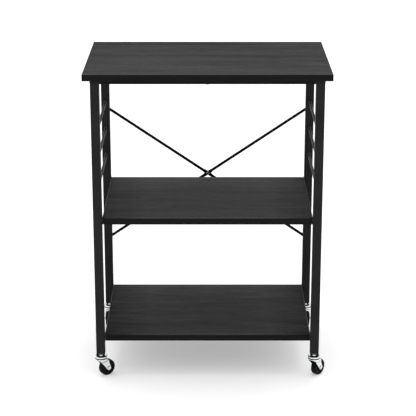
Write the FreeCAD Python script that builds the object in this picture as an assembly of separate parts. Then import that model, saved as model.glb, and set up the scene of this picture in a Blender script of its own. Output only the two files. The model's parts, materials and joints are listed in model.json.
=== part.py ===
import FreeCAD, Part
import math
import os

# Kitchen cart on four swivel casters. Two welded side frames of square tube carry a top board
# and two shelves. Two rails and a pair of crossed rods tie the side frames together.
# Lengths are in millimetres. X runs to the right, Y to the back and Z up. The origin lies on the
# floor under the middle of the cart.

# Boards
cart_height = 790.0
board_width = 600.0
board_depth = 400.0
board_thickness = 16.0
board_edge_round = 0.8
side_overhang = 18.0
front_overhang = 12.0
middle_shelf_top = 424.0
bottom_shelf_top = 114.0
shelf_thickness = 16.0
shelf_inset = 8.0
shelf_side_gap = 0.5

# Legs and the bars between them
leg_side = 22.0
tube_wall = 1.2
tube_inner_corner = 1.3
rail_height = 10.0
rail_end_block = 12.0
rung_radius = 3.5
top_rung_drop = 140.0
rung_pitch = 71.5
rung_names = ("upper", "middle", "lower")

# Shelf angles
angle_leg = 20.0
angle_sheet = 2.0
angle_inner_bend = 0.5
angle_lip = 0.6
angle_end_notch = 12.0

# Crossed rods at the back
brace_center_height = 432.0
brace_half_rise = 184.0
brace_rod_radius = 3.8
brace_rod_gap = 0.3
brace_flat_thickness = 3.0
brace_flat_width = 9.0
brace_end_flat = 7.0
brace_center_flat = 10.0
brace_taper = 5.0

# Fasteners
head_round_share = 0.55
thread_clearance = 0.05
hole_clearance = 0.3
cut_overrun = 2.0
wood_screw_radius = 2.0
wood_screw_bite = 11.0
wood_screw_head_radius = 4.0
wood_screw_head_height = 2.4
shelf_screw_place_share = 0.62
side_bar_screw_place_share = 0.65
rail_bolt_radius = 2.5
rail_bolt_head_gap = 0.4
rail_bolt_head_height = 1.0
brace_screw_radius = 2.0
brace_screw_bite = 6.0
brace_screw_head_radius = 3.6
brace_screw_head_height = 2.4
brace_nut_width = 7.0
brace_nut_height = 3.2
brace_bolt_end = 1.0

# Leg plugs and caster stems
caster_height = 63.0
plug_flange = 3.0
plug_body = 24.0
plug_slack = 0.1
stem_radius = 4.0
stem_bite = 20.0
stem_collar_foot = 6.0
stem_collar_tip = 4.4
stem_head_radius = 6.5
stem_head_height = 1.8
swivel_clearance = 0.1
swivel_end_play = 0.3

# Caster raceway
cup_drop = 6.0
cup_radius = 16.0
cup_rim = 3.0
cup_dish = 2.6
cup_web = 1.6
cup_skirt = 1.4
seal_drop = 2.0
ball_radius = 1.6
ball_circle = 11.5
ball_count = 10
ball_clearance = 0.1
race_depth = 0.5
crown_gap = 2.0

# Caster fork
fork_sheet = 1.8
crown_radius = 15.5
crown_step = 0.3
crown_lip = 2.2
caster_trail = 17.0
fork_side_gap = 0.9
shoulder_height = 11.0
arm_root_half = 16.5
arm_end_radius = 6.2
arm_front_sweep = 130.0
arm_rear_sweep = 55.0
shell_side_steps = 8
shell_bend_steps = 6

# Caster wheel
wheel_radius = 21.0
tyre_width = 15.0
tyre_depth = 5.5
tyre_shoulder = 3.2
tyre_core_step = 0.6
axle_radius = 3.0
axle_clearance = 0.05
axle_head_radius = 4.4
axle_head_height = 1.5
hub_end_gap = 0.3
hub_boss_radius = 7.0
hub_web_half = 3.8
hub_rim = 2.4

# Corners: side of the cart, front or back, and the way the caster trails at rest in degrees
corners = {
    "front_left": (-1, -1, 38.0),
    "front_right": (1, -1, 50.0),
    "rear_left": (-1, 1, -95.0),
    "rear_right": (1, 1, -85.0),
}
sides = {"left": -1, "right": 1}
ends = {"front": -1, "rear": 1}

# Places that follow from the sizes
frame_half_width = board_width / 2 - side_overhang
frame_half_depth = board_depth / 2 - front_overhang
leg_x = frame_half_width - leg_side / 2
leg_y = frame_half_depth - leg_side / 2
leg_inner_x = frame_half_width - leg_side
leg_inner_y = frame_half_depth - leg_side
frame_top = cart_height - board_thickness
leg_foot = caster_height + plug_flange
rail_middle = frame_top - rail_height / 2
rail_bolt_head_radius = rail_height / 2 - rail_bolt_head_gap
shelf_half_depth = frame_half_depth - shelf_inset
shelf_half_width = leg_inner_x - angle_sheet - shelf_side_gap
shelf_screw_x = leg_inner_x - angle_leg / 2
shelf_screw_y = shelf_half_depth * shelf_screw_place_share
side_bar_screw_y = leg_inner_y * side_bar_screw_place_share
shelf_tops = {"middle": middle_shelf_top, "bottom": bottom_shelf_top}

brace_stand_off = brace_rod_radius + brace_rod_gap
brace_plane = frame_half_depth + brace_stand_off
brace_half_length = math.hypot(leg_x, brace_half_rise)
brace_slope = math.degrees(math.atan2(brace_half_rise, leg_x))

cup_top = caster_height - cup_drop
cup_floor = cup_top - cup_dish
cup_ceiling = cup_floor - cup_web
ball_height = cup_ceiling + race_depth - ball_clearance - ball_radius
race_radius = ball_radius + ball_clearance
crown_top = ball_height - race_radius + race_depth
crown_bottom = crown_top - fork_sheet
cup_foot = crown_top + crown_gap
stem_head_top = crown_bottom - swivel_end_play
arm_inner = tyre_width / 2 + fork_side_gap
arm_outer = arm_inner + fork_sheet
shoulder_foot = crown_bottom - shoulder_height
shell_half_length = caster_trail + 2 * arm_end_radius
axle_place = FreeCAD.Vector(caster_trail, 0, wheel_radius)
core_radius = wheel_radius - tyre_depth

up = FreeCAD.Vector(0, 0, 1)
right = FreeCAD.Vector(1, 0, 0)
back = FreeCAD.Vector(0, 1, 0)


def block(low_x, high_x, low_y, high_y, low_z, high_z):
    """A plain box between two corners."""
    corner = FreeCAD.Vector(low_x, low_y, low_z)
    return Part.makeBox(high_x - low_x, high_y - low_y, high_z - low_z, corner)


def along(shape, place, direction):
    """A copy of a shape made on the Z axis, with that axis turned to a direction."""
    moved = shape.copy()
    moved.Placement = FreeCAD.Placement(place, FreeCAD.Rotation(up, direction))
    return moved


def turned(points):
    """A solid of revolution about Z from corners given as radius and height."""
    corners_xz = [FreeCAD.Vector(radius, 0, height) for radius, height in points]
    outline = Part.makePolygon(corners_xz + corners_xz[:1])
    return Part.Face(outline).revolve(FreeCAD.Vector(0, 0, 0), up, 360)


def rings_of(solid, radius):
    """The circular edges of a turned solid that have a given radius."""
    circles = [edge for edge in solid.Edges if edge.Curve.TypeId == "Part::GeomCircle"]
    return [edge for edge in circles if math.isclose(edge.Curve.Radius, radius, rel_tol=1e-6)]


def rounded_bar(width, depth, corner, length):
    """A bar along Z with rounded long edges."""
    bar = block(-width / 2, width / 2, -depth / 2, depth / 2, 0, length)
    long_edges = [edge for edge in bar.Edges if edge.BoundBox.ZLength > length / 2]
    return bar.makeFillet(corner, long_edges)


def square_tube(width, depth, length):
    """A hollow bar along Z with the wall and corners that all the tubes share."""
    outer = rounded_bar(width, depth, tube_inner_corner + tube_wall, length)
    hollow = rounded_bar(width - 2 * tube_wall, depth - 2 * tube_wall, tube_inner_corner, length)
    return outer.cut(hollow)


def headed_pin(radius, length, head_radius, head_height):
    """A screw or rivet along Z with its domed head below zero."""
    shank = Part.makeCylinder(radius, length)
    head = Part.makeCylinder(head_radius, head_height, FreeCAD.Vector(0, 0, -head_height))
    rim = [edge for edge in rings_of(head, head_radius) if edge.BoundBox.ZMax < -head_height / 2]
    return head.makeFillet(head_height * head_round_share, rim).fuse(shank).removeSplitter()


def hexagon(width_across_flats, height):
    """A six-sided prism along Z."""
    corner_radius = width_across_flats / 2 / math.cos(math.radians(30))
    turns = [math.radians(60 * step) for step in range(6)]
    points = [FreeCAD.Vector(corner_radius * math.cos(t), corner_radius * math.sin(t), 0) for t in turns]
    return Part.Face(Part.makePolygon(points + points[:1])).extrude(up * height)


def drill(shape, radius, place, direction, length):
    """Cuts a round hole that starts at a place and runs in a direction."""
    return shape.cut(Part.makeCylinder(radius, length, place, direction))


def board(half_width, half_depth, thickness, top, screw_places):
    """A board with eased edges and blind pilot holes from below."""
    panel = block(-half_width, half_width, -half_depth, half_depth, top - thickness, top)
    panel = panel.makeFillet(board_edge_round, panel.Edges)
    for x, y in screw_places:
        place = FreeCAD.Vector(x, y, top - thickness - cut_overrun)
        panel = drill(panel, wood_screw_radius + thread_clearance, place, up, wood_screw_bite + cut_overrun)
    return panel


def shelf_screw_places():
    """Screw places of one shelf, two in each angle."""
    return [(x * shelf_screw_x, y * shelf_screw_y) for x in sides.values() for y in ends.values()]


def top_screw_places():
    """Screw places of the top board, two in each side bar and one in each rail."""
    in_side_bars = [(x * leg_x, y * side_bar_screw_y) for x in sides.values() for y in ends.values()]
    in_rails = [(0, y * leg_y) for y in ends.values()]
    return in_side_bars + in_rails


def wood_screws(places, seat, stack):
    """Screws that stand on a seat, pass a stack of metal and bite into the board above."""
    screw = headed_pin(wood_screw_radius, stack + wood_screw_bite - thread_clearance,
                       wood_screw_head_radius, wood_screw_head_height)
    return [along(screw, FreeCAD.Vector(x, y, seat), up) for x, y in places]


def leg(side, end):
    """A square tube leg with holes for its rail bolt and, at the back, for the brace screws."""
    x = side * leg_x
    y = end * leg_y
    tube = square_tube(leg_side, leg_side, frame_top - leg_foot)
    tube = along(tube, FreeCAD.Vector(x, y, leg_foot), up)
    bolt_start = FreeCAD.Vector(x - leg_side, y, rail_middle)
    tube = drill(tube, rail_bolt_radius + hole_clearance, bolt_start, right, 2 * leg_side)
    if end > 0:
        for rise in (-brace_half_rise, brace_half_rise):
            screw_start = FreeCAD.Vector(x, y, brace_center_height + rise)
            tube = drill(tube, brace_screw_radius + thread_clearance, screw_start, back, leg_side)
    return tube


def rail(end):
    """A flat tube between the left and right legs, closed at both ends by threaded blocks."""
    length = 2 * leg_inner_x
    tube = square_tube(rail_height, leg_side, length)
    filler_height = rail_height - 2 * tube_wall
    filler_depth = leg_side - 2 * tube_wall
    filler = rounded_bar(filler_height, filler_depth, tube_inner_corner, rail_end_block)
    far_filler = filler.copy()
    far_filler.translate(up * (length - rail_end_block))
    bar = tube.fuse([filler, far_filler]).removeSplitter()
    bar = along(bar, FreeCAD.Vector(-leg_inner_x, end * leg_y, rail_middle), right)
    bore_start = FreeCAD.Vector(-leg_inner_x - cut_overrun, end * leg_y, rail_middle)
    bar = drill(bar, rail_bolt_radius + thread_clearance, bore_start, right, length + 2 * cut_overrun)
    screw_start = FreeCAD.Vector(0, end * leg_y, frame_top - rail_height - cut_overrun)
    return drill(bar, wood_screw_radius + hole_clearance, screw_start, up, rail_height + 2 * cut_overrun)


def side_bar(side):
    """A flat tube between the front and rear legs under the top board."""
    tube = square_tube(leg_side, rail_height, 2 * leg_inner_y)
    bar = along(tube, FreeCAD.Vector(side * leg_x, -leg_inner_y, rail_middle), back)
    for end in ends.values():
        start = FreeCAD.Vector(side * leg_x, end * side_bar_screw_y, frame_top - rail_height - cut_overrun)
        bar = drill(bar, wood_screw_radius + hole_clearance, start, up, rail_height + 2 * cut_overrun)
    return bar


def rung(side, step):
    """A round rung between the front and rear legs."""
    height = frame_top - top_rung_drop - step * rung_pitch
    start = FreeCAD.Vector(side * leg_x, -leg_inner_y, height)
    return Part.makeCylinder(rung_radius, 2 * leg_inner_y, start, back)


def shelf_angle(side, shelf_top):
    """A bent angle on the inner faces of two legs. The shelf end lies on its lower leg, which is
    cut back at both ends so that it stays out of sight."""
    wall = side * leg_inner_x
    inward = -side
    seat = shelf_top - shelf_thickness
    outer_bend = angle_inner_bend + angle_sheet
    half_turn = math.sqrt(2) / 2

    def point(reach, height):
        return FreeCAD.Vector(wall + inward * reach, -shelf_half_depth, height)

    def bend(center_reach, center_height, radius):
        start = point(center_reach - radius, center_height)
        middle = point(center_reach - radius * half_turn, center_height - radius * half_turn)
        return Part.Arc(start, middle, point(center_reach, center_height - radius)).toShape()

    low = seat - angle_sheet
    high = shelf_top + angle_lip
    bend_height = seat + angle_inner_bend
    outer_line = [point(0, high), point(0, bend_height)]
    inner_line = [point(angle_sheet, bend_height), point(angle_sheet, high)]
    edges = [
        Part.makeLine(*outer_line),
        bend(outer_bend, bend_height, outer_bend),
        Part.makeLine(point(outer_bend, low), point(angle_leg, low)),
        Part.makeLine(point(angle_leg, low), point(angle_leg, seat)),
        Part.makeLine(point(angle_leg, seat), point(outer_bend, seat)),
        bend(outer_bend, bend_height, angle_inner_bend),
        Part.makeLine(*inner_line),
        Part.makeLine(point(angle_sheet, high), point(0, high)),
    ]
    profile = Part.Face(Part.Wire(Part.__sortEdges__(edges)))
    bar = profile.extrude(back * (2 * shelf_half_depth))
    for end in ends.values():
        notch_start = shelf_half_depth - angle_end_notch
        notch_y = sorted((end * notch_start, end * (shelf_half_depth + cut_overrun)))
        notch_x = sorted((wall - inward * cut_overrun, wall + inward * (angle_leg + cut_overrun)))
        bar = bar.cut(block(*notch_x, *notch_y, low - cut_overrun, bend_height))
        start = FreeCAD.Vector(side * shelf_screw_x, end * shelf_screw_y, low - cut_overrun)
        bar = drill(bar, wood_screw_radius + hole_clearance, start, up, angle_sheet + 2 * cut_overrun)
    return bar


def brace_taper_piece(start, length, offset):
    """The stretch of a rod along X that goes from round to flat, the flat set off by an offset in Y."""
    corner_turns = [math.radians(45 + 90 * step) for step in range(4)]
    round_edges = []
    flat_points = []
    for turn in corner_turns:
        arc_turns = (turn, turn + math.radians(45), turn + math.radians(90))
        arc_points = [FreeCAD.Vector(start, brace_rod_radius * math.sin(t), brace_rod_radius * math.cos(t))
                      for t in arc_turns]
        round_edges.append(Part.Arc(*arc_points).toShape())
        flat_y = math.copysign(brace_flat_thickness / 2, math.sin(turn)) + offset
        flat_z = math.copysign(brace_flat_width / 2, math.cos(turn))
        flat_points.append(FreeCAD.Vector(start + length, flat_y, flat_z))
    round_wire = Part.Wire(round_edges)
    flat_wire = Part.makePolygon(flat_points + flat_points[:1])
    return Part.makeLoft([round_wire, flat_wire], True, True)


def brace_rod(lap, lean):
    """A rod with flat ends on the legs and a flat middle. Lap is the side in Y of its middle, lean
    its slope."""
    half_thickness = brace_flat_thickness / 2
    half_width = brace_flat_width / 2
    lap_offset = lap * half_thickness
    end_offset = half_thickness - brace_stand_off
    end_start = brace_half_length - brace_end_flat
    middle = block(-brace_center_flat, brace_center_flat, lap_offset - half_thickness,
                   lap_offset + half_thickness, -half_width, half_width)
    pieces = []
    for way in (-1, 1):
        round_start = brace_center_flat + brace_taper
        round_length = end_start - brace_taper - round_start
        run_start = FreeCAD.Vector(way * round_start, 0, 0)
        pieces.append(Part.makeCylinder(brace_rod_radius, round_length, run_start, right * way))
        pieces.append(brace_taper_piece(way * round_start, -way * brace_taper, lap_offset))
        pieces.append(brace_taper_piece(way * (end_start - brace_taper), way * brace_taper, end_offset))
        flat_ends = sorted((way * end_start, way * brace_half_length))
        flat_back = end_offset + half_thickness
        pieces.append(block(*flat_ends, -brace_stand_off, flat_back, -half_width, half_width))
        tip = FreeCAD.Vector(way * brace_half_length, -brace_stand_off, 0)
        pieces.append(Part.makeCylinder(half_width, brace_flat_thickness, tip, back))
    rod = middle.fuse(pieces).removeSplitter()
    drill_reach = brace_stand_off + cut_overrun
    for place in (-brace_half_length, 0, brace_half_length):
        start = FreeCAD.Vector(place, -drill_reach, 0)
        rod = drill(rod, brace_screw_radius + hole_clearance, start, back, 2 * drill_reach)
    rod.rotate(FreeCAD.Vector(0, 0, 0), back, -lean * brace_slope)
    rod.translate(FreeCAD.Vector(0, brace_plane, brace_center_height))
    return rod


def brace_end_screws():
    """Screws from behind through the flat rod ends into the rear legs."""
    screw = headed_pin(brace_screw_radius, brace_flat_thickness + brace_screw_bite,
                       brace_screw_head_radius, brace_screw_head_height)
    seat = frame_half_depth + brace_flat_thickness
    heights = (brace_center_height - brace_half_rise, brace_center_height + brace_half_rise)
    return [along(screw, FreeCAD.Vector(side * leg_x, seat, height), -back)
            for side in sides.values() for height in heights]


def brace_center_bolt():
    """The bolt at the crossing, with its head to the front."""
    seat = FreeCAD.Vector(0, brace_plane - brace_flat_thickness, brace_center_height)
    length = 2 * brace_flat_thickness + brace_nut_height + brace_bolt_end
    bolt = headed_pin(brace_screw_radius, length, brace_screw_head_radius, brace_screw_head_height)
    return along(bolt, seat, back)


def brace_center_nut():
    """The nut behind the crossing."""
    nut = hexagon(brace_nut_width, brace_nut_height)
    nut = drill(nut, brace_screw_radius + thread_clearance, FreeCAD.Vector(0, 0, 0), up, brace_nut_height)
    return along(nut, FreeCAD.Vector(0, brace_plane + brace_flat_thickness, brace_center_height), back)


def rail_bolts():
    """Bolts from the outer faces of the legs into the ends of the rails."""
    bolt = headed_pin(rail_bolt_radius, leg_side + rail_end_block,
                      rail_bolt_head_radius, rail_bolt_head_height)
    return [along(bolt, FreeCAD.Vector(side * frame_half_width, end * leg_y, rail_middle), -right * side)
            for side in sides.values() for end in ends.values()]


def leg_plugs():
    """Plugs in the feet of the legs, each with a bore for its caster stem."""
    body_side = leg_side - 2 * (tube_wall + plug_slack)
    flange = rounded_bar(leg_side, leg_side, tube_inner_corner + tube_wall, plug_flange)
    body = rounded_bar(body_side, body_side, tube_inner_corner, plug_flange + plug_body)
    plug = flange.fuse(body).removeSplitter()
    bore_radius = stem_radius + thread_clearance
    plug = drill(plug, bore_radius, FreeCAD.Vector(0, 0, 0), up, plug_flange + plug_body)
    return [along(plug, FreeCAD.Vector(side * leg_x, end * leg_y, caster_height), up)
            for side, end, trail_turn in corners.values()]


def caster_stem():
    """The threaded stem with a tapered collar on the cup and a riveted head under the fork."""
    return turned([
        (0, stem_head_top - stem_head_height),
        (stem_radius, stem_head_top - stem_head_height),
        (stem_head_radius, stem_head_top),
        (stem_radius, stem_head_top),
        (stem_radius, cup_floor),
        (stem_collar_foot, cup_floor),
        (stem_collar_tip, caster_height),
        (stem_radius, caster_height),
        (stem_radius, caster_height + stem_bite),
        (0, caster_height + stem_bite),
    ])


def ball_race():
    """The ring of space that the bearing balls run in."""
    return Part.makeTorus(ball_circle, race_radius, FreeCAD.Vector(0, 0, ball_height), up)


def caster_cup():
    """The fixed upper raceway: a dished disc with a raised rim and a skirt over the balls."""
    cup = turned([
        (stem_radius + thread_clearance, cup_ceiling),
        (cup_radius - cup_skirt, cup_ceiling),
        (cup_radius - cup_skirt, cup_foot),
        (cup_radius, cup_foot),
        (cup_radius, cup_top),
        (cup_radius - cup_rim, cup_top),
        (cup_radius - cup_rim - cup_dish, cup_floor),
        (stem_radius + thread_clearance, cup_floor),
    ])
    top_edges = [edge for edge in rings_of(cup, cup_radius) if edge.BoundBox.ZMin > cup_floor]
    return cup.makeFillet(cup_rim * head_round_share, top_edges).cut(ball_race())


def caster_seal():
    """The black ring in the dish of the cup, round the collar of the stem."""
    bore = stem_collar_foot + hole_clearance
    dish_radius = cup_radius - cup_rim - cup_dish
    seal_top = cup_top - seal_drop
    return turned([
        (bore, cup_floor),
        (dish_radius, cup_floor),
        (dish_radius + seal_top - cup_floor, seal_top),
        (bore, seal_top),
    ])


def caster_balls():
    """The bearing balls of one swivel."""
    balls = []
    for step in range(ball_count):
        turn = 2 * math.pi * step / ball_count
        place = FreeCAD.Vector(ball_circle * math.cos(turn), ball_circle * math.sin(turn), ball_height)
        balls.append(Part.makeSphere(ball_radius, place))
    return Part.makeCompound(balls)


def swept_edge(root, radius, way):
    """A hollow edge of the arm from its root to the round end, which it meets without a corner.
    Gives the middle of the edge, where it touches the round end and the turn of that point."""
    reach = root - axle_place
    far = radius + arm_end_radius
    opening = math.acos((reach.Length ** 2 + far ** 2 - radius ** 2) / (2 * reach.Length * far))
    turn = math.atan2(reach.z, reach.x) + way * opening
    toward = FreeCAD.Vector(math.cos(turn), 0, math.sin(turn))
    center = axle_place + toward * far
    touch = axle_place + toward * arm_end_radius
    middle = center + ((root + touch) / 2 - center).normalize() * radius
    return middle, touch, turn


def arm_side_view():
    """The side view of both arms as a thick slab: wide at the crown, round at the axle."""
    front_root = FreeCAD.Vector(-arm_root_half, 0, crown_top)
    rear_root = FreeCAD.Vector(arm_root_half, 0, crown_top)
    front_middle, front_touch, front_turn = swept_edge(front_root, arm_front_sweep, 1)
    rear_middle, rear_touch, rear_turn = swept_edge(rear_root, arm_rear_sweep, -1)
    end_turn = (front_turn + rear_turn) / 2 + math.pi
    end_middle = axle_place + FreeCAD.Vector(math.cos(end_turn), 0, math.sin(end_turn)) * arm_end_radius
    edges = [
        Part.Arc(front_root, front_middle, front_touch).toShape(),
        Part.Arc(front_touch, end_middle, rear_touch).toShape(),
        Part.Arc(rear_touch, rear_middle, rear_root).toShape(),
        Part.makeLine(rear_root, front_root),
    ]
    slab = Part.Face(Part.Wire(edges)).extrude(back * (4 * crown_radius))
    slab.translate(-back * (2 * crown_radius))
    return slab


def shell_section(radius, half_width, height, flat_share):
    """A level section of the drawn fork, between a circle and a long rectangle, in four curves that
    meet on the diagonals."""
    corner_points = [FreeCAD.Vector(x * shell_half_length, y * half_width, height)
                     for x, y in ((1, 1), (-1, 1), (-1, -1), (1, -1))]
    curves = []
    for quarter in range(4):
        start = corner_points[quarter]
        reach = corner_points[(quarter + 1) % 4] - start
        points = []
        for step in range(shell_side_steps + 1):
            side_share = step / shell_side_steps
            turn = math.radians(45 + 90 * (quarter + side_share))
            on_circle = FreeCAD.Vector(radius * math.cos(turn), radius * math.sin(turn), height)
            on_side = start + reach * side_share
            points.append(on_circle + (on_side - on_circle) * flat_share)
        curve = Part.BSplineCurve()
        curve.interpolate(points)
        curves.append(curve.toShape())
    return Part.Wire(curves)


def drawn_shell(radius, half_width):
    """The space within one face of the sheet: round under the crown, then drawn in to flat sides."""
    lip_foot = crown_bottom - crown_lip
    flat_top = shoulder_foot - crown_lip
    levels = [(crown_bottom, 0), (crown_bottom - crown_lip / 2, 0)]
    for step in range(shell_bend_steps + 1):
        down_share = step / shell_bend_steps
        height = lip_foot - (lip_foot - shoulder_foot) * down_share
        levels.append((height, down_share ** 2 * (3 - 2 * down_share)))
    levels += [(shoulder_foot - crown_lip / 2, 1), (flat_top, 1)]
    sections = [shell_section(radius, half_width, height, flat_share) for height, flat_share in levels]
    sides_below = block(-shell_half_length, shell_half_length, -half_width, half_width, 0, flat_top)
    return Part.makeLoft(sections, True).fuse(sides_below)


def caster_fork():
    """The pressed fork: a round crown with its race and a turned-down lip, and two arms drawn out of
    the lip that reach back to the axle."""
    lip_radius = crown_radius - crown_step
    inside = drawn_shell(lip_radius - fork_sheet, arm_inner)
    arms = drawn_shell(lip_radius, arm_outer).cut(inside).common(arm_side_view())
    crown = Part.makeCylinder(crown_radius, fork_sheet, FreeCAD.Vector(0, 0, crown_bottom))
    fork = crown.fuse(arms).removeSplitter()
    fork = drill(fork, stem_radius + swivel_clearance, FreeCAD.Vector(0, 0, 0), up, caster_height)
    fork = fork.cut(ball_race())
    bore_start = axle_place - back * (2 * crown_radius)
    return drill(fork, axle_radius + thread_clearance, bore_start, back, 4 * crown_radius)


def on_axle(shape):
    """Sets a shape made about Z on the wheel axle, which runs along Y."""
    return along(shape, axle_place, back)


def caster_axle():
    """The riveted axle with a domed head outside each arm."""
    half = headed_pin(axle_radius, arm_outer, axle_head_radius, axle_head_height)
    near = along(half, FreeCAD.Vector(0, 0, -arm_outer), up)
    far = along(half, FreeCAD.Vector(0, 0, arm_outer), -up)
    return on_axle(near.fuse(far).removeSplitter())


def caster_wheel_core():
    """The moulded core: a boss on the axle, a recessed web and a rim under the tyre."""
    hub_half = arm_inner - hub_end_gap
    rim_half = tyre_width / 2 - tyre_core_step
    bore = axle_radius + axle_clearance
    rim_inner = core_radius - hub_rim
    one_side = [
        (bore, hub_half),
        (hub_boss_radius, hub_half),
        (hub_boss_radius, hub_web_half),
        (rim_inner, hub_web_half),
        (rim_inner, rim_half),
        (core_radius, rim_half),
    ]
    other_side = [(radius, -height) for radius, height in reversed(one_side)]
    return on_axle(turned(one_side + other_side))


def caster_tyre():
    """The tyre on the core, with round shoulders."""
    half = tyre_width / 2
    tyre = turned([(core_radius, -half), (wheel_radius, -half), (wheel_radius, half), (core_radius, half)])
    return on_axle(tyre.makeFillet(tyre_shoulder, rings_of(tyre, wheel_radius)))


def set_under_leg(shape, side, end, trail_turn):
    """Turns a caster piece to its rest heading and sets it under its leg."""
    placed = shape.copy()
    placed.rotate(FreeCAD.Vector(0, 0, 0), up, trail_turn)
    placed.translate(FreeCAD.Vector(side * leg_x, end * leg_y, 0))
    return placed


def build_boards(nodes):
    """The top board and the two shelves, with their screws."""
    places = top_screw_places()
    nodes["top_board"] = board(board_width / 2, board_depth / 2, board_thickness, cart_height, places)
    nodes["top_board_screws"] = Part.makeCompound(
        wood_screws(places, frame_top - rail_height, rail_height))
    places = shelf_screw_places()
    shelf_screws = []
    for name, top in shelf_tops.items():
        nodes[name + "_shelf"] = board(shelf_half_width, shelf_half_depth, shelf_thickness, top, places)
        seat = top - shelf_thickness - angle_sheet
        shelf_screws += wood_screws(places, seat, angle_sheet)
    nodes["shelf_screws"] = Part.makeCompound(shelf_screws)


def build_frame(nodes):
    """The two side frames and what ties them together."""
    for name, (side, end, trail_turn) in corners.items():
        nodes[name + "_leg"] = leg(side, end)
    for name, end in ends.items():
        nodes[name + "_rail"] = rail(end)
    for name, side in sides.items():
        nodes[name + "_side_bar"] = side_bar(side)
        for step, rung_name in enumerate(rung_names):
            nodes[name + "_" + rung_name + "_rung"] = rung(side, step)
        for shelf_name, top in shelf_tops.items():
            nodes[name + "_" + shelf_name + "_shelf_angle"] = shelf_angle(side, top)
    nodes["rail_bolts"] = Part.makeCompound(rail_bolts())
    nodes["leg_plugs"] = Part.makeCompound(leg_plugs())


def build_brace(nodes):
    """The crossed rods at the back and their fasteners."""
    nodes["front_brace_rod"] = brace_rod(-1, 1)
    nodes["rear_brace_rod"] = brace_rod(1, -1)
    nodes["brace_center_bolt"] = brace_center_bolt()
    nodes["brace_center_nut"] = brace_center_nut()
    nodes["brace_end_screws"] = Part.makeCompound(brace_end_screws())


def build_casters(nodes):
    """Four casters, each turned to the way it trails at rest."""
    pieces = {
        "caster_stem": caster_stem(),
        "caster_cup": caster_cup(),
        "caster_balls": caster_balls(),
        "caster_fork": caster_fork(),
        "caster_axle": caster_axle(),
        "wheel_core": caster_wheel_core(),
        "tyre": caster_tyre(),
    }
    for corner, placing in corners.items():
        for piece, shape in pieces.items():
            nodes[corner + "_" + piece] = set_under_leg(shape, *placing)
    seal = caster_seal()
    seals = [set_under_leg(seal, *placing) for placing in corners.values()]
    nodes["caster_seals"] = Part.makeCompound(seals)


def main():
    """Builds every piece and writes one file for each."""
    nodes = {}
    build_boards(nodes)
    build_frame(nodes)
    build_brace(nodes)
    build_casters(nodes)
    os.makedirs("parts", exist_ok=True)
    for name, shape in nodes.items():
        shape.exportStep("parts/" + name + ".step")
        print(name, len(shape.Solids), "solid, valid" if shape.isValid() else "solid, NOT VALID",
              round(shape.Volume), "mm3")
    print(len(nodes), "nodes")


main()
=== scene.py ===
# %% [markdown]
# # A kitchen cart on casters
# The cart is a black top board and two shelves on a slim frame of square steel tube. It rolls on
# four small chrome casters. The solids come ready made, at their real size, so this lesson is
# about looks: finishes made from nodes, small pieces that are easier as meshes, light and a camera.

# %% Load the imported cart
import json
import math

import bmesh
import bpy
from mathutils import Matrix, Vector


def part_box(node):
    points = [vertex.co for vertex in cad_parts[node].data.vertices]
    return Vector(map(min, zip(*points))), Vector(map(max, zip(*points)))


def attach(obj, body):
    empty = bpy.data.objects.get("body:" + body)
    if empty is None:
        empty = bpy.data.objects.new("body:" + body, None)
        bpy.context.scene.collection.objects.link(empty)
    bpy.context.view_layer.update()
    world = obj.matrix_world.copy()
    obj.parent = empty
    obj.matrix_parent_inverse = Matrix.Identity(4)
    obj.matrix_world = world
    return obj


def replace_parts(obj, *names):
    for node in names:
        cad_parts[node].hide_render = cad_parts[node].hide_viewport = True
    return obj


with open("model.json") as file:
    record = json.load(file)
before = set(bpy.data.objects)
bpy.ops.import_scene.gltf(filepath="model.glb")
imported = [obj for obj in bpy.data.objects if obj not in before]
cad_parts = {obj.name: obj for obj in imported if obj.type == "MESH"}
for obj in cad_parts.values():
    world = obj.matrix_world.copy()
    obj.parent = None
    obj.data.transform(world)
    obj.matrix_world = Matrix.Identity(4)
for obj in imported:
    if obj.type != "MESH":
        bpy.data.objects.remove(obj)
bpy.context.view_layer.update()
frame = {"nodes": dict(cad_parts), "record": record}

nodes = frame["nodes"]

# %% [markdown]
# ## A short way to write shader nodes
# Every finish below is a small graph of nodes that ends in one Principled shader. In the shader
# editor that takes a lot of dragging, and a script that sets each socket on a line of its own gets
# long. So one helper adds a node and sets or links its sockets in one go.

# %% Add a node
def add_node(tree, kind, inputs=None, **settings):
    """Adds a node, then sets or links the sockets that are named."""
    made = tree.nodes.new(kind)
    for name, value in settings.items():
        setattr(made, name, value)
    for socket, value in (inputs or {}).items():
        if isinstance(value, bpy.types.NodeSocket):
            tree.links.new(value, made.inputs[socket])
        else:
            made.inputs[socket].default_value = value
    return made


# %% [markdown]
# ## Starting a finish
# Each finish begins with the same three things: a material, its Principled shader and the places on
# the cart. A number that is the same all over the surface goes straight on the shader's own socket,
# and only what varies is linked.

# %% Start a finish and drive its shader
finishes = {}


def start_finish(name, **constants):
    """A new material with its Principled shader and the places on the cart in metres."""
    material = bpy.data.materials.new(name)
    material.use_nodes = True
    tree = material.node_tree
    shader = tree.nodes["Principled BSDF"]
    for socket, value in constants.items():
        shader.inputs[socket.replace("_", " ")].default_value = value
    place = add_node(tree, "ShaderNodeTexCoord").outputs["Object"]
    return material, tree, shader, place


def drive(tree, shader, **sockets):
    """Links varying values to the shader's sockets."""
    for socket, value in sockets.items():
        tree.links.new(value, shader.inputs[socket.replace("_", " ")])


print("finishes made so far:", len(finishes))

# %% [markdown]
# ## Arithmetic in a finish
# Math nodes add and multiply. A Map Range node turns one range of values into another, which makes
# a mask, a shift of tone or a roughness out of a noise.

# %% Combine and remap values
WHOLE = (0.0, 1.0)


def combine(tree, operation, first, second=0.0):
    """One arithmetic step between two values."""
    step = add_node(tree, "ShaderNodeMath", {0: first, 1: second}, operation=operation)
    return step.outputs["Value"]


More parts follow.
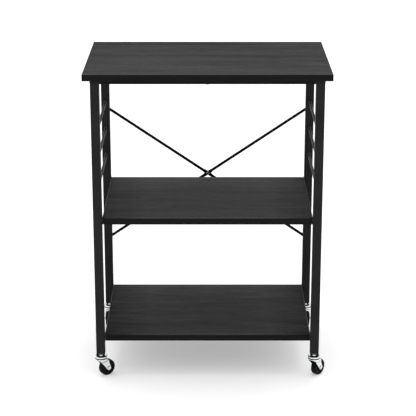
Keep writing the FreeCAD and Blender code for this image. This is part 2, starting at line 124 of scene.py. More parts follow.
def remap(tree, value, source, target=WHOLE):
    """Maps a range of values to another and clamps it."""
    ends = dict(zip(("From Min", "From Max", "To Min", "To Max"), (*source, *target)))
    return add_node(tree, "ShaderNodeMapRange", {"Value": value, **ends}).outputs["Result"]


print("a mask runs from", WHOLE[0], "to", WHOLE[1])

# %% [markdown]
# ## Noise at a real scale
# Object coordinates are metres on the cart. Divided by a length, they give a noise whose cells have
# that length, and a different length along each axis stretches the cells into grain. The noise
# itself stays between zero and one.

# %% Noise
MILLIMETRE = 0.001


def noise(tree, place, cell, detail=3.0, fineness=0.5):
    """Noise with cells of a given size in metres along X, Y and Z, and finer cells on top."""
    scale = [1 / length for length in cell]
    mapped = add_node(tree, "ShaderNodeMapping", {"Vector": place, "Scale": scale})
    return add_node(tree, "ShaderNodeTexNoise", {
        "Vector": mapped.outputs["Vector"], "Scale": 1.0, "Detail": detail, "Roughness": fineness,
    }).outputs["Fac"]


print("noise cells are in metres, and a millimetre is", MILLIMETRE)

# %% [markdown]
# ## Colour and relief
# A finish is never one flat colour, so each base colour is a blend of two tones. Relief too small
# to model goes in as bump, with its depth in metres so that it stays true at any zoom.

# %% Blends and bump
BUMP_STRENGTH = 1.0


def blend(tree, factor, first, second):
    """A colour between two colours, or beyond them where the factor isn't between zero and one."""
    mix = add_node(tree, "ShaderNodeMix", {"Factor": factor}, data_type="RGBA", clamp_factor=False)
    for socket, colour in (("A", first), ("B", second)):
        target = next(i for i in mix.inputs if i.name == socket and i.type == "RGBA")
        if isinstance(colour, bpy.types.NodeSocket):
            tree.links.new(colour, target)
        else:
            target.default_value = (*colour, 1.0)
    return next(o for o in mix.outputs if o.type == "RGBA")


def relief(tree, shader, height, depth):
    """Links a height to the shader as bump. A height of one stands for the depth in metres."""
    bump = add_node(tree, "ShaderNodeBump", {
        "Height": height, "Distance": depth, "Strength": BUMP_STRENGTH,
    })
    drive(tree, shader, Normal=bump.outputs["Normal"])


print("bump at a strength of", BUMP_STRENGTH)

# %% [markdown]
# ## Gaps and edges
# Gaps and corners get painted shade, and sharp edges are painted paler, partly as wear and partly
# as a painted highlight. The Ambient Occlusion node finds the gaps by itself. The Bevel node gives
# a normal that turns near an edge, so its angle to the true normal finds the edges.

# %% Find gaps and edges
GAP_SAMPLES = 8
EDGE_SAMPLES = 4
EDGE_ALIKE = (0.97, 0.80)


def openness(tree, reach):
    """How much of the space within reach is free: zero deep in a gap, one in the open."""
    gap = add_node(tree, "ShaderNodeAmbientOcclusion", {"Distance": reach}, samples=GAP_SAMPLES)
    return gap.outputs["AO"]


def edge_share(tree, reach):
    """Zero on flats and smooth curves, up to one within reach of a sharp edge."""
    rounded = add_node(tree, "ShaderNodeBevel", {"Radius": reach}, samples=EDGE_SAMPLES)
    facing = add_node(tree, "ShaderNodeNewGeometry")
    alike = add_node(tree, "ShaderNodeVectorMath", {
        0: rounded.outputs["Normal"], 1: facing.outputs["Normal"],
    }, operation="DOT_PRODUCT")
    return remap(tree, alike.outputs["Value"], EDGE_ALIKE)


edge_turns = [round(math.degrees(math.acos(alike))) for alike in EDGE_ALIKE]
print("an edge starts where the normal turns by", edge_turns[0], "and is full at", edge_turns[1])

# %% [markdown]
# ## Painted light and shade on the boards
# The shelves are painted paler than the top board, the middle one more so, by their height on the
# cart, as light that fills the shade under the boards above. The front of the top board is painted
# paler and its back darker, as light from the front. On the shelves the ends and the front are
# painted darker and the back paler, as shade. The boxes of the boards say where their fronts and
# ends are.

# %% Paint light and shade on a board
MIDDLE_SHELF_LIGHT = 0.70
BOTTOM_SHELF_LIGHT = 0.24
SHELF_LIGHT_HEIGHTS = (0.2, 0.4)
SHELF_END_SHADE = 0.72
END_SHADE_START = 0.6
SHELF_FRONT_SHADE = 0.12
TOP_FRONT_LIGHT = 0.20
SHELF_HEIGHTS = (0.5, 0.6)
board_low, board_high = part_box("top_board")
shelf_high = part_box("middle_shelf")[1]


def board_painted_light(tree, place):
    """How much painted light, or painted shade where it is negative, a place on a board gets."""
    along, across, height = add_node(tree, "ShaderNodeSeparateXYZ", {0: place}).outputs
    front_to_back = (board_low.y, board_high.y)
    # Painted light on the shelves, more on the middle one, by height.
    shelf_light = remap(tree, height, SHELF_LIGHT_HEIGHTS, (BOTTOM_SHELF_LIGHT, MIDDLE_SHELF_LIGHT))
    end_reach = (END_SHADE_START * shelf_high.x, shelf_high.x)
    # Painted shade towards the ends of the shelves.
    ends = remap(tree, combine(tree, "ABSOLUTE", along), end_reach, (0.0, SHELF_END_SHADE))
    # Painted shade at the front of the shelves and painted light at their back.
    front = remap(tree, across, front_to_back, (SHELF_FRONT_SHADE, -SHELF_FRONT_SHADE))
    shelf_light_and_shade = combine(tree, "SUBTRACT", combine(tree, "SUBTRACT", shelf_light, ends), front)
    # Painted light at the front of the top board and painted shade at its back.
    top_light_and_shade = remap(tree, across, front_to_back, (TOP_FRONT_LIGHT, -TOP_FRONT_LIGHT))
    on_shelf = remap(tree, height, SHELF_HEIGHTS, (1.0, 0.0))
    return remap(tree, on_shelf, WHOLE, (top_light_and_shade, shelf_light_and_shade))


print("boards run from", round(board_low.y, 3), "at the front to", round(board_high.y, 3))

# %% [markdown]
# ## Black wood-grain boards
# The boards are chipboard with a black printed face, pressed with a fine grain that runs along the
# long side, and a plain darker band glued on the edges. A photo texture would do, but noise that is
# stretched along one axis gives streaks, flecks and pores at the real scale, with no picture to
# carry. The numbers below say how long and wide each kind of mark is, and how much it counts.

# %% Marks in the grain
STREAKS = {"cell": (0.24, 0.014, 0.014), "detail": 6.0, "fineness": 0.72}
CLOUDS = {"cell": (0.30, 0.05, 0.05), "detail": 2.0}
FLECKS = {"cell": (0.030, 0.009, 0.009), "detail": 3.0, "fineness": 0.6}
PORES = {"cell": (0.022, 0.0011, 0.0011), "detail": 2.0}
CLOUD_WEIGHT = 0.5
FLECK_WEIGHT = 0.45
TONE_RANGE = (0.695, 1.255)
PORE_RANGE = (0.30, 0.42)


def grain_marks(tree, place):
    """The streaks, the tone of all the marks together, and a mask that is one in the pores."""
    streaks = noise(tree, place, **STREAKS)
    clouds = combine(tree, "MULTIPLY", noise(tree, place, **CLOUDS), CLOUD_WEIGHT)
    flecks = combine(tree, "MULTIPLY", noise(tree, place, **FLECKS), FLECK_WEIGHT)
    mixed = combine(tree, "ADD", combine(tree, "ADD", streaks, clouds), flecks)
    pores = remap(tree, noise(tree, place, **PORES), PORE_RANGE, (1.0, 0.0))
    return streaks, remap(tree, mixed, TONE_RANGE), pores


print("pores are", round(PORES["cell"][0] / MILLIMETRE), "mm long")

# %% [markdown]
# ## From grain to finish
# The tone picks the colour of the face, and pores are darker, rougher and a little deeper. The
# surface normal tells the flat faces from the edge bands, which have no grain to feel.

# %% Board finish
FACE_DARK = (0.019, 0.0183, 0.0186)
FACE_LIGHT = (0.054, 0.0522, 0.0528)
PORE_DARK = (0.016, 0.0155, 0.0155)
BAND_DARK = (0.0075, 0.0075, 0.0078)
BAND_LIGHT = (0.0125, 0.0125, 0.013)
DEEPEST_TONE = -0.3
PORE_SHARE = 0.7
PORE_ROUGHNESS = 0.08
STREAK_RANGE = (0.3, 0.7)
STREAK_HEIGHT = 0.3
GRAIN_DEPTH = 0.05 * MILLIMETRE
FACE_SLOPE = (0.6, 0.8)
BOARD_SHINE = 0.04
BOARD_ROUGHNESS = (0.66, 0.76)


def board_finish(name):
    """Black wood grain on the faces and a plain dark band on the edges."""
    material, tree, shader, place = start_finish(name, Specular_IOR_Level=BOARD_SHINE)
    streaks, tone, pores = grain_marks(tree, place)
    # The grain tone gets the painted light and shade of the boards.
    tone_with_light = combine(tree, "ADD", tone, board_painted_light(tree, place))
    tone_with_light = combine(tree, "MAXIMUM", tone_with_light, DEEPEST_TONE)
    face = blend(tree, tone_with_light, FACE_DARK, FACE_LIGHT)
    face = blend(tree, combine(tree, "MULTIPLY", pores, PORE_SHARE), face, PORE_DARK)
    band = blend(tree, tone, BAND_DARK, BAND_LIGHT)
    facing = add_node(tree, "ShaderNodeNewGeometry").outputs["Normal"]
    upward = add_node(tree, "ShaderNodeSeparateXYZ", {0: facing}).outputs["Z"]
    on_face = remap(tree, combine(tree, "ABSOLUTE", upward), FACE_SLOPE)
    rough = remap(tree, streaks, STREAK_RANGE, BOARD_ROUGHNESS)
    rough = combine(tree, "ADD", rough, combine(tree, "MULTIPLY", pores, PORE_ROUGHNESS))
    drive(tree, shader, Base_Color=blend(tree, on_face, band, face), Roughness=rough)
    grain = combine(tree, "MULTIPLY", streaks, STREAK_HEIGHT)
    relief(tree, shader, combine(tree, "SUBTRACT", grain, pores), GRAIN_DEPTH)
    return material


finishes["black_wood_board"] = board_finish("black_wood_board")
print("board finish has", len(finishes["black_wood_board"].node_tree.nodes), "nodes")

# %% [markdown]
# ## Black powder coat
# The steel frame is sprayed with powder and baked. The melted powder leaves a fine orange peel,
# with small grains in it, and it shines softly. The peel is too small to model, so it is bump from
# two sizes of noise, and a slower noise lets the gloss wander a little as a sprayed coat does.
# Inside corners are painted near black, as shade, and sharp edges, such as the lips beside the
# shelves, are painted a paler grey, partly as worn coat and partly as a painted highlight.

# %% Powder coat
PEEL = {"cell": (0.0024,) * 3, "detail": 2.0}
GRAINS = {"cell": (0.0006,) * 3, "detail": 1.0}
DRIFT = {"cell": (0.06,) * 3, "detail": 3.0}
GRAIN_HEIGHT = 0.25
PEEL_DEPTH = 0.06 * MILLIMETRE
DRIFT_RANGE = (0.3, 0.7)
GLOSS_RANGE = (0.7, 1.3)
CORNER_SHADE = (0.004, 0.004, 0.0041)
CORNER_REACH = 14 * MILLIMETRE
CORNER_RANGE = (0.35, 0.85)
EDGE_WEAR_AND_HIGHLIGHT = (0.22, 0.22, 0.225)
EDGE_REACH = 1.5 * MILLIMETRE
WEAR_AND_HIGHLIGHT_RANGE = (0.35, 0.65)
WEAR_AND_HIGHLIGHT_SHARE = (0.5, 1.0)


def powder_coat(name, dark, light, specular, roughness):
    """A sprayed coat with orange peel, painted shade in corners and paler edges of wear and
    highlight.
    """
    material, tree, shader, place = start_finish(name, Specular_IOR_Level=specular)
    peel = noise(tree, place, **PEEL)
    grains = combine(tree, "MULTIPLY", noise(tree, place, **GRAINS), GRAIN_HEIGHT)
    drift = noise(tree, place, **DRIFT)
    full = remap(tree, openness(tree, CORNER_REACH), CORNER_RANGE)
    coat = blend(tree, remap(tree, drift, DRIFT_RANGE), dark, light)
    # Inside corners are painted near black, as shade.
    coat = blend(tree, full, CORNER_SHADE, coat)
    # Sharp edges are painted pale grey in patches, partly as worn coat and partly as a painted
    # highlight.
    patches = remap(tree, drift, WEAR_AND_HIGHLIGHT_RANGE, WEAR_AND_HIGHLIGHT_SHARE)
    worn_and_highlit = combine(tree, "MULTIPLY", edge_share(tree, EDGE_REACH), patches)
    gloss = remap(tree, combine(tree, "ADD", drift, peel), GLOSS_RANGE, roughness)
    drive(tree, shader, Base_Color=blend(tree, worn_and_highlit, coat, EDGE_WEAR_AND_HIGHLIGHT), Roughness=gloss)
    relief(tree, shader, combine(tree, "ADD", peel, grains), PEEL_DEPTH)
    return material


print("wear reaches", EDGE_REACH / MILLIMETRE, "mm from an edge")

# %% [markdown]
# ## Three black coats
# The welded frame wears a satin black. The black bolts and screws are a little glossier. The rails
# and rods, which are bolted on, get a deeper black, which on the rails under the top board is
# painted shade.

# %% Coated finishes
COAT_DARK = (0.012, 0.012, 0.0124)
COAT_LIGHT = (0.0185, 0.0185, 0.0191)
DEEP_DARK = (0.003, 0.003, 0.0031)
DEEP_LIGHT = (0.006, 0.006, 0.0062)
SATIN = {"specular": 0.08, "roughness": (0.42, 0.54)}
GLOSSIER = {"specular": 0.22, "roughness": (0.34, 0.46)}

finishes["black_powder_coat"] = powder_coat("black_powder_coat", COAT_DARK, COAT_LIGHT, **SATIN)
finishes["black_fastener"] = powder_coat("black_fastener", COAT_DARK, COAT_LIGHT, **GLOSSIER)
# A deeper black for the rails and rods, which on the rails under the top board is painted shade.
deep_black_with_shade = powder_coat("deep_black_shade_coat", DEEP_DARK, DEEP_LIGHT, **SATIN)
print("finishes so far:", ", ".join(finishes), "and", deep_black_with_shade.name)

# %% [markdown]
# ## Painted shade in the raceways
# The gaps of the casters' raceways are painted near black as shade, and so are both rims of a
# raceway, which is a band of height on the cart.

# %% Find what is free of painted shade
GAP_REACH = 6 * MILLIMETRE
GAP_RANGE = (0.5, 0.92)
RIM_SHADE_REACH = 0.5 * MILLIMETRE
RIM_SHADE_FADE = 0.3 * MILLIMETRE
race_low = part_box("front_left_caster_fork")[1].z
race_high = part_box("front_left_caster_cup")[0].z


def free_of_painted_shade(tree, place):
    """Zero in gaps and on the rims of a raceway, where shade is painted, and one elsewhere."""
    height = add_node(tree, "ShaderNodeSeparateXYZ", {0: place}).outputs["Z"]
    from_race = combine(tree, "SUBTRACT", height, (race_low + race_high) / 2)
    reach = (race_high - race_low) / 2 + RIM_SHADE_REACH
    outside = remap(tree, combine(tree, "ABSOLUTE", from_race), (reach, reach + RIM_SHADE_FADE))
    out_of_gaps = remap(tree, openness(tree, GAP_REACH), GAP_RANGE)
    return combine(tree, "MINIMUM", out_of_gaps, outside)


print("raceway gap of", round((race_high - race_low) / MILLIMETRE, 2), "mm")

# %% [markdown]
# ## Plated steel
# The caster forks and raceways are chromed, the balls are polished steel, and the screws under
# the boards are zinc plated. All three are bare metal to the eye, so the shader's Metallic is one
# and the look lies in the tint and in how much the roughness wanders: little on chrome, more and
# cloudier on zinc.

# %% Plated finishes
GAP_SHADE = (0.012, 0.012, 0.013)
HAZE = {"cell": (0.009,) * 3, "detail": 4.0}
CLOUDING = {"cell": (0.0025,) * 3, "detail": 3.0}
PLATE_RANGE = (0.7, 1.3)


def plated(name, dull, bright, roughness, ripple):
    """Bare metal with dull and bright spots, their roughnesses, and a ripple in millimetres."""
    material, tree, shader, place = start_finish(name, Metallic=1.0)
    haze = noise(tree, place, **HAZE)
    mixed = combine(tree, "ADD", haze, noise(tree, place, **CLOUDING))
    spread = remap(tree, mixed, PLATE_RANGE)
    metal = blend(tree, spread, dull, bright)
    # Gaps and raceway rims get painted shade, near black.
    colour = blend(tree, free_of_painted_shade(tree, place), GAP_SHADE, metal)
    drive(tree, shader, Base_Color=colour, Roughness=remap(tree, spread, WHOLE, roughness))
    relief(tree, shader, haze, ripple * MILLIMETRE)
    return material


finishes["caster_chrome"] = plated(
    "caster_chrome", dull=(0.72, 0.73, 0.75), bright=(0.88, 0.89, 0.90),
    roughness=(0.13, 0.05), ripple=0.015)
finishes["bearing_steel"] = plated(
    "bearing_steel", dull=(0.22, 0.22, 0.23), bright=(0.34, 0.34, 0.35),
    roughness=(0.20, 0.10), ripple=0.005)
finishes["zinc_fastener"] = plated(
    "zinc_fastener", dull=(0.46, 0.47, 0.50), bright=(0.66, 0.67, 0.69),
    roughness=(0.42, 0.22), ripple=0.01)
print("finishes so far:", len(finishes))

# %% [markdown]
# ## Moulded plastic and rubber
# The leg plugs, seals and wheel cores are black moulded plastic, and the tyres are black rubber.
# Both are dark and rather matt. Plastic keeps the fine spark texture of its mould, and rubber picks
# up grey dust, which is a patchy noise that lifts both the colour and the roughness.

# %% Plastic and rubber finishes
PATCHES = {"cell": (0.012,) * 3, "detail": 5.0}
SPARK_DETAIL = 2.0
SPARK_WEIGHT = 0.4
DUST_RANGE = (0.5, 0.95)


def moulded(name, dark, light, spark, depth, roughness, specular):
    """A matt black with spark texture. Its cell is in metres and its depth in millimetres."""
    material, tree, shader, place = start_finish(name, Specular_IOR_Level=specular)
    sparks = noise(tree, place, (spark,) * 3, SPARK_DETAIL)
    weighted = combine(tree, "MULTIPLY", sparks, SPARK_WEIGHT)
    dusty = combine(tree, "ADD", noise(tree, place, **PATCHES), weighted)
    spread = remap(tree, dusty, DUST_RANGE)
    colour = blend(tree, spread, dark, light)
    drive(tree, shader, Base_Color=colour, Roughness=remap(tree, spread, WHOLE, roughness))
    relief(tree, shader, sparks, depth * MILLIMETRE)
    return material


finishes["plug_plastic"] = moulded(
    "plug_plastic", dark=(0.004, 0.004, 0.004), light=(0.008, 0.008, 0.008),
    spark=0.0007, depth=0.03, roughness=(0.45, 0.58), specular=0.08)
finishes["wheel_core_plastic"] = moulded(
    "wheel_core_plastic", dark=(0.003, 0.003, 0.003), light=(0.006, 0.006, 0.006),
    spark=0.0007, depth=0.03, roughness=(0.42, 0.55), specular=0.1)
finishes["caster_tyre"] = moulded(
    "caster_tyre", dark=(0.003, 0.003, 0.003), light=(0.006, 0.006, 0.006),
    spark=0.0009, depth=0.04, roughness=(0.55, 0.75), specular=0.08)
print("finishes:", len(finishes))

# %% [markdown]
# ## Dressing the solids
# The record that comes with the solids says which finish each one wears. Setting the material slot
# on the object, and leaving the mesh alone, is all that it takes, because every finish is placed
# by the object's own coordinates and needs no unwrapping. Only the rails and rods differ from their
# record, by the deeper black, which on the rails under the top board is painted shade.

# %% Give every solid its finish
DEEP_BLACK_PARTS = ("front_rail", "rear_rail", "front_brace_rod", "rear_brace_rod")

for row in frame["record"]["subparts"]:
    # Rails and rods get the deeper black, which on the rails is painted shade.
    finish = deep_black_with_shade if row["node"] in DEEP_BLACK_PARTS else finishes[row["material_slot"]]
    for material_slot in nodes[row["node"]].material_slots:
        material_slot.material = finish

# %% [markdown]
# ## Small pieces on the cart
# Weld beads and screw heads with a drive are left to meshes, because they are small and full of
# facets. A bmesh collects the faces of one kind of piece. Turned into an object, it gets smooth
# shading with sharp edges kept, a finish, and the body of the cart that carries it.

# %% Finish a piece
SHARP_ANGLE = math.radians(32)


def finish_piece(name, mesh, slot, body):
    """Turns a bmesh into a smooth-shaded object that rides on a body and wears a finish."""
    bmesh.ops.recalc_face_normals(mesh, faces=mesh.faces)
    data = bpy.data.meshes.new(name)
    mesh.to_mesh(data)
    mesh.free()
    data.shade_smooth()
    data.set_sharp_from_angle(angle=SHARP_ANGLE)
    data.materials.append(finishes[slot])
    piece = bpy.data.objects.new(name, data)
    bpy.context.scene.collection.objects.link(piece)
    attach(piece, body)
    print(name, "has", len(data.polygons), "faces")
    return piece


print("edges over", round(math.degrees(SHARP_ANGLE)), "degrees stay sharp")

# %% [markdown]
# ## Skinning rings
# Beads and screws are both tubes of a kind: rings of points, one after the other, with faces
# between them. A closed tube joins its last ring to the first, and an open one gets a cap on each
# end. Quads between rings shade evenly, which a Boolean seldom leaves.

# %% Skin
def skin(mesh, rings, closed):
    """Joins rings of points, each with the same count, into a tube that is closed or capped."""
    count = len(rings[0])
    loops = [[mesh.verts.new(point) for point in ring] for ring in rings]
    pairs = list(zip(loops, loops[1:])) + ([(loops[-1], loops[0])] if closed else [])
    for first, second in pairs:
        for side in range(count):
            follow = (side + 1) % count
            mesh.faces.new((first[side], first[follow], second[follow], second[side]))
    for ring, loop in ([] if closed else [(rings[0], loops[0]), (rings[-1], loops[-1])]):
        center = mesh.verts.new(sum(ring, Vector()) / count)
        for side in range(count):
            mesh.faces.new((loop[side], loop[(side + 1) % count], center))


across_x, across_y, up = Vector((1, 0, 0)), Vector((0, 1, 0)), Vector((0, 0, 1))
print("rings are placed along", [list(way) for way in (across_x, across_y, up)])

# %% [markdown]
# ## Weld beads
# The rungs, side bars and shelf angles are welded to the legs. A real bead is a row of frozen
# puddles, so a plain ring would look like a gasket. A tube that follows the seam, with a radius
# that ripples along the way, reads as a weld at any distance and costs few faces.

# %% Add a bead
BEAD_SIDES = 8
BEAD_STEP = 0.3 * MILLIMETRE
RIPPLE_LENGTH = 1.3 * MILLIMETRE
RIPPLE_SHARE = 0.16


def add_bead(mesh, path, radius, closed):
    """Adds a rippled tube along points that lie closer together than the ripples."""
    rings = []
    count = len(path)
    for index, point in enumerate(path):
        before = path[index - 1] if closed or index else point
        after = path[(index + 1) % count] if closed or index < count - 1 else point
        along = (after - before).normalized()
        across = along.orthogonal().normalized()
        other = along.cross(across)
        wave = math.sin(2 * math.pi * index * BEAD_STEP / RIPPLE_LENGTH)
        turns = [2 * math.pi * side / BEAD_SIDES for side in range(BEAD_SIDES)]
        size = radius * (1 + RIPPLE_SHARE * wave)
        rings.append([point + size * (math.cos(t) * across + math.sin(t) * other) for t in turns])
    skin(mesh, rings, closed)


print("a bead ripples every", RIPPLE_LENGTH / MILLIMETRE, "mm")

# %% [markdown]
# ## Seams
# A seam is a list of points at even steps, on a circle round a rung or on a straight line beside a
# bar. The step is a fraction of a ripple, so that the ripples come out round.

# %% Paths along a seam
def circle_path(center, radius, first, second):
    """Points on a circle in the plane of two directions."""
    count = round(2 * math.pi * radius / BEAD_STEP)
    turns = [2 * math.pi * step / count for step in range(count)]
    return [center + radius * (math.cos(t) * first + math.sin(t) * second) for t in turns]


def line_path(start, end):
    """Evenly spaced points on a line."""
    count = round((end - start).length / BEAD_STEP)
    return [start.lerp(end, step / count) for step in range(count + 1)]


print("a ripple has", round(RIPPLE_LENGTH / BEAD_STEP, 1), "steps")

# %% [markdown]
# ## Beads round the rungs
# Each rung meets two legs in a round seam. The boxes of the solids give all the places, so nothing
# is typed in that the cart already says.

# %% Welds on the rungs
BEAD_RADIUS = 1.2 * MILLIMETRE
SIDES = ("left", "right")

welds = bmesh.new()
for side in SIDES:
    for rung in ("upper", "middle", "lower"):
        low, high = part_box(f"{side}_{rung}_rung")
        middle = (low + high) / 2
        for end_y in (low.y, high.y):
            center = Vector((middle.x, end_y, middle.z))
            seam = circle_path(center, (high.z - low.z) / 2, across_x, up)
            add_bead(welds, seam, BEAD_RADIUS, closed=True)
finish_piece("rung_welds", welds, "black_powder_coat", "cart")

# %% [markdown]
# ## Beads on the side bars
# A side bar sits flush with the legs, so its bead runs under it, from one side to the other. It
# stops short of the corners, as a welder does to keep the outside clean.

# %% Welds under the side bars
BEAD_INSET = 2 * BEAD_RADIUS

welds = bmesh.new()
for side in SIDES:
    low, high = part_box(f"{side}_side_bar")
    for end_y in (low.y, high.y):
        start = Vector((low.x + BEAD_INSET, end_y, low.z))
        end = Vector((high.x - BEAD_INSET, end_y, low.z))
        add_bead(welds, line_path(start, end), BEAD_RADIUS, closed=False)
finish_piece("side_bar_welds", welds, "black_powder_coat", "cart")

# %% [markdown]
# ## Beads on the shelf angles
# Each shelf angle lies on the inner face of a leg, and its bead runs up the seam beside it. It
# starts above the bend of the angle.

# %% Welds beside the angles
BEND_INSET = 3 * BEAD_RADIUS

welds = bmesh.new()
for side in SIDES:
    leg_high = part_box(f"front_{side}_leg")[1]
    for shelf in ("middle", "bottom"):
        low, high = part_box(f"{side}_{shelf}_shelf_angle")
        wall = max(low.x, high.x, key=abs)
        for end_y in (leg_high.y, -leg_high.y):
            start = Vector((wall, end_y, low.z + BEND_INSET))
            end = Vector((wall, end_y, high.z - BEAD_INSET))
            add_bead(welds, line_path(start, end), BEAD_RADIUS, closed=False)
finish_piece("angle_welds", welds, "black_powder_coat", "cart")

# %% [markdown]
# ## Splitting the screws
# The screws and bolts of the solids are plain domes, and they are replaced by screws with a drive.
# The new ones take their sizes from the old. One mesh holds several screws, so it is first split
# into loose islands, by walking along its edges from a point that hasn't been reached yet.

# %% Islands
SAME_PLACE = 0.01 * MILLIMETRE


def islands(node):
    """The points of each loose solid in a node."""
    mesh = bmesh.new()
    mesh.from_mesh(nodes[node].data)
    bmesh.ops.remove_doubles(mesh, verts=mesh.verts, dist=SAME_PLACE)
    found = []
    for seed in mesh.verts:
        group = [] if seed.tag else [seed]
        seed.tag = True
        for vert in group:
            for other in [edge.other_vert(vert) for edge in vert.link_edges]:
                if not other.tag:
                    other.tag = True
                    group.append(other)
        if group:
            found.append([vert.co.copy() for vert in group])
    mesh.free()
    return found


print("rail bolts found:", len(islands("rail_bolts")))

# %% [markdown]
# ## Measuring a screw
# Along its axis, each point of a screw has a height and a distance from the axis. The widest points
# are the rim of the head, and the end that lies further from the rim is the tip. That gives the
# seat under the head, the way the screw points, the radii and the lengths.

# %% Sizes
RIM_SHARE = 0.99


def measure_screw(points, axis):
    """Seat, way to the tip, head radius, head height, shank radius and shank length."""
    low, high = Vector(map(min, *points)), Vector(map(max, *points))
    middle = (low + high) / 2
    offsets = [point - middle for point in points]
    rows = [(offset.dot(axis), offset.cross(axis).length) for offset in offsets]
    head_radius = max(radius for height, radius in rows)
    rim = [height for height, radius in rows if radius > RIM_SHARE * head_radius]
    sense = -1 if sum(rim) > 0 else 1
    rows = [(sense * height, radius) for height, radius in rows]
    seat = max(sense * height for height in rim)
    tip = max(height for height, radius in rows)
    shank_radius = max(radius for height, radius in rows if tip - height < SAME_PLACE)
    head_height = seat - min(height for height, radius in rows)
    way = sense * axis
    return middle + seat * way, way, head_radius, head_height, shank_radius, tip - seat


screw_axes = {
    "rail_bolts": across_x,
    "brace_end_screws": across_y,
    "brace_center_bolt": across_y,
    "top_board_screws": up,
    "shelf_screws": up,
}
screws = {}
for node, axis in screw_axes.items():
    screws[node] = [measure_screw(points, axis) for points in islands(node)]
print("screws found:", {node: len(found) for node, found in screws.items()})

# %% [markdown]
# ## Drive outlines
# The bolts at the top of the legs have a hexagon socket, and the other screws a cross. Cutting
# these with a Boolean leaves long thin triangles that shade badly. Here a screw is skinned from
# rings about its axis, all with the same count of points, so a hexagon or a cross flows into the
# round head. The corners of both outlines fall on points of the ring, which keeps them crisp.

# %% Outlines
RING_POINTS = 48
CROSS_ARM_TURN = math.radians(15)


def fold(turn, step):
    """A turn brought to the nearest middle of steps round a circle."""
    return (turn + step / 2) % step - step / 2


def round_outline(turn):
    return 1.0


def hexagon_outline(turn):
    return 1 / math.cos(fold(turn, math.pi / 3))


def cross_outline(turn):
    beside = abs(fold(turn, math.pi / 2))
    arm_side = math.tan(CROSS_ARM_TURN) / math.sin(max(beside, CROSS_ARM_TURN))
    return min(1 / math.cos(beside), arm_side)


print("a ring has", RING_POINTS, "points")

# %% [markdown]
# ## Skinning a screw
# The rings run from the floor of the recess up to its mouth, over the rounded head, under it to the
# shank and down to the tip. Heights count from the seat towards the tip, so the head has negative
# ones.

# %% Add a screw
HEAD_ROUND_SHARE = 0.55
DOME_STEPS = 5
FLOOR_SHARE = 0.85
RECESS_DEPTH_SHARE = 0.65


def add_screw(mesh, screw, outline, mouth_share):
    """Adds one screw, with a recess of a given outline in its head."""
    seat, way, head_radius, head_height, shank_radius, length = screw
    rounding = HEAD_ROUND_SHARE * head_height
    mouth = mouth_share * head_radius
    floor_height = (RECESS_DEPTH_SHARE - 1) * head_height
    rows = [(outline, FLOOR_SHARE * mouth, floor_height), (outline, mouth, -head_height)]
    for step in range(DOME_STEPS + 1):
        turn = math.pi / 2 * step / DOME_STEPS
        radius = head_radius - rounding * (1 - math.sin(turn))
        rows.append((round_outline, radius, rounding * (1 - math.cos(turn)) - head_height))
    rows.append((round_outline, head_radius, 0.0))
    rows.append((round_outline, shank_radius, 0.0))
    rows.append((round_outline, shank_radius, length))
    across = way.orthogonal().normalized()
    other = way.cross(across)
    turns = [2 * math.pi * point / RING_POINTS for point in range(RING_POINTS)]
    directions = [math.cos(t) * across + math.sin(t) * other for t in turns]
    rings = [[seat + height * way + radius * shape(t) * d for t, d in zip(turns, directions)]
             for shape, radius, height in rows]
    skin(mesh, rings, closed=False)


print("a recess is", RECESS_DEPTH_SHARE, "of the height of its head")

# %% [markdown]
# ## Changing the screws
# Each new piece stands in for the node that it was measured from. The node stays for collisions and
# is no longer shown.

# %% Replace the plain screws
SOCKET_MOUTH = 0.42
CROSS_MOUTH = 0.6

for node, name, slot, outline, mouth_share in (
    ("rail_bolts", "socket_bolts", "black_fastener", hexagon_outline, SOCKET_MOUTH),
    ("brace_end_screws", "brace_cross_screws", "black_fastener", cross_outline, CROSS_MOUTH),
    ("brace_center_bolt", "crossing_bolt", "zinc_fastener", cross_outline, CROSS_MOUTH),
    ("top_board_screws", "top_cross_screws", "zinc_fastener", cross_outline, CROSS_MOUTH),
    ("shelf_screws", "shelf_cross_screws", "zinc_fastener", cross_outline, CROSS_MOUTH),
):
    drive_heads = bmesh.new()
    for screw in screws[node]:
        add_screw(drive_heads, screw, outline, mouth_share)
    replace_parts(finish_piece(name, drive_heads, slot, "cart"), node)

# %% [markdown]
# ## A white studio floor
# The cart stands on white paper under a large soft lamp. The paper is one big plane, so large that
# its edge is out of sight from anywhere.

# %% Floor plane
FLOOR_REACH = 40.0

floor_mesh = bmesh.new()
bmesh.ops.create_grid(floor_mesh, x_segments=1, y_segments=1, size=FLOOR_REACH)
floor_data = bpy.data.meshes.new("studio_floor")
floor_mesh.to_mesh(floor_data)
floor_mesh.free()
floor = bpy.data.objects.new("studio_floor", floor_data)
bpy.context.scene.collection.objects.link(floor)
print("floor of", 2 * FLOOR_REACH, "m")

# %% [markdown]
# ## White paper
# For the eye the paper is a pale surface that takes shadow, with a little glow added so that open
# paper reaches white. For light that bounces on to the cart it is plain pale paper, so the glow
# lights nothing. A Light Path node tells the two apart.

# %% Paper finish
PAPER = (0.74, 0.74, 0.74)
PAPER_GLOW = 0.30


def seen_directly(tree):
    """One for rays from the eye, also by way of metal or glass, and zero for bounced light."""
    path = add_node(tree, "ShaderNodeLightPath").outputs
    mirrored = combine(tree, "MAXIMUM", path["Is Glossy Ray"], path["Is Transmission Ray"])
    return combine(tree, "MAXIMUM", path["Is Camera Ray"], mirrored)


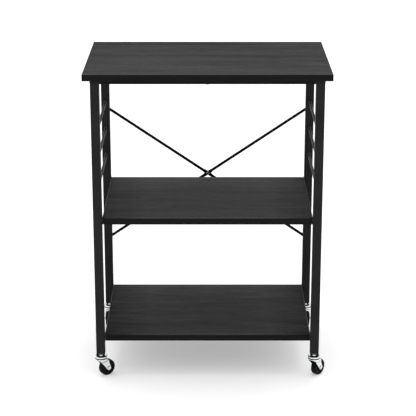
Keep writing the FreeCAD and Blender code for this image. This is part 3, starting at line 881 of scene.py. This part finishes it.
paper = bpy.data.materials.new("studio_paper")
paper.use_nodes = True
paper_tree = paper.node_tree
paper_tree.nodes.remove(paper_tree.nodes["Principled BSDF"])
paper_matt = add_node(paper_tree, "ShaderNodeBsdfDiffuse", {"Color": (*PAPER, 1.0)})
paper_glow = add_node(paper_tree, "ShaderNodeEmission", {
    "Strength": combine(paper_tree, "MULTIPLY", seen_directly(paper_tree), PAPER_GLOW),
})
paper_sum = add_node(paper_tree, "ShaderNodeAddShader", {
    0: paper_matt.outputs["BSDF"], 1: paper_glow.outputs["Emission"],
})
paper_output = paper_tree.nodes["Material Output"]
paper_tree.links.new(paper_sum.outputs["Shader"], paper_output.inputs["Surface"])
floor_data.materials.append(paper)
print("paper tone", PAPER[0], "with a glow of", PAPER_GLOW)

# %% [markdown]
# ## Lamp
# A product picture like this has one broad lamp overhead. It stands a little to the back, because
# the shelves are lighter there and the soft shadow on the floor reaches forward. An area lamp would
# need a size and a distance to suit. A sun with a wide angle gives the same soft shadow everywhere.

# %% Overhead lamp
LAMP_STRENGTH = 0.9
LAMP_ANGLE = math.radians(40)
LAMP_TILT = math.radians(-8)

lamp_data = bpy.data.lights.new("overhead_lamp", "SUN")
lamp_data.energy = LAMP_STRENGTH
lamp_data.angle = LAMP_ANGLE
lamp = bpy.data.objects.new("overhead_lamp", lamp_data)
lamp.rotation_euler = (LAMP_TILT, 0, 0)
bpy.context.scene.collection.objects.link(lamp)
print("lamp of", LAMP_STRENGTH, "leaning", -round(math.degrees(LAMP_TILT)), "degrees to the back")

# %% [markdown]
# ## World
# The world fills in. To the eye it is plain white. Metal sees it white too, apart from the front
# side, where a studio is darker, and that side is what gives chrome its grey. As light on the
# boards it comes evenly from all sides, a little above white, which lifts the shadows between the
# shelves.

# %% Studio world
WORLD_FILL = 1.1
ROOM_SHARE = 0.2
ROOM_TURN = (-0.6, 0.4)

world = bpy.data.worlds.new("studio")
world.use_nodes = True
bpy.context.scene.world = world
world_tree = world.node_tree
way = add_node(world_tree, "ShaderNodeTexCoord").outputs["Generated"]
backward = add_node(world_tree, "ShaderNodeSeparateXYZ", {0: way}).outputs["Y"]
room = remap(world_tree, backward, ROOM_TURN, (ROOM_SHARE, 1.0))
level = remap(world_tree, seen_directly(world_tree), WHOLE, (WORLD_FILL, room))
to_eye = add_node(world_tree, "ShaderNodeLightPath").outputs["Is Camera Ray"]
strength = combine(world_tree, "MAXIMUM", to_eye, level)
background = world_tree.nodes["Background"]
background.inputs["Color"].default_value = (1.0, 1.0, 1.0, 1.0)
world_tree.links.new(strength, background.inputs["Strength"])
bpy.context.scene.view_settings.view_transform = "Standard"
print("world fill", WORLD_FILL, "and metal sees", ROOM_SHARE, "of white at the front")

# %% [markdown]
# ## The camera
# The picture is taken from the front, from a little above the top board and from a fair distance,
# so the legs stay almost upright. The edges of the boards and the feet of the legs, whose real
# places are known, gave the distance, the height, the pitch and the lens together.

# %% Camera
CAMERA_PLACE = (0.0011, -3.6, 1.5494)
CAMERA_PITCH = math.radians(72.2)
CAMERA_LENS = 126.35
SENSOR = 36.0

camera_data = bpy.data.cameras.new("photo_camera")
camera_data.lens = CAMERA_LENS
camera_data.sensor_width = SENSOR
camera = bpy.data.objects.new("photo_camera", camera_data)
camera.location = CAMERA_PLACE
camera.rotation_euler = (CAMERA_PITCH, 0, 0)
bpy.context.scene.collection.objects.link(camera)
bpy.context.scene.camera = camera
print("camera at", CAMERA_PLACE, "lens", CAMERA_LENS)
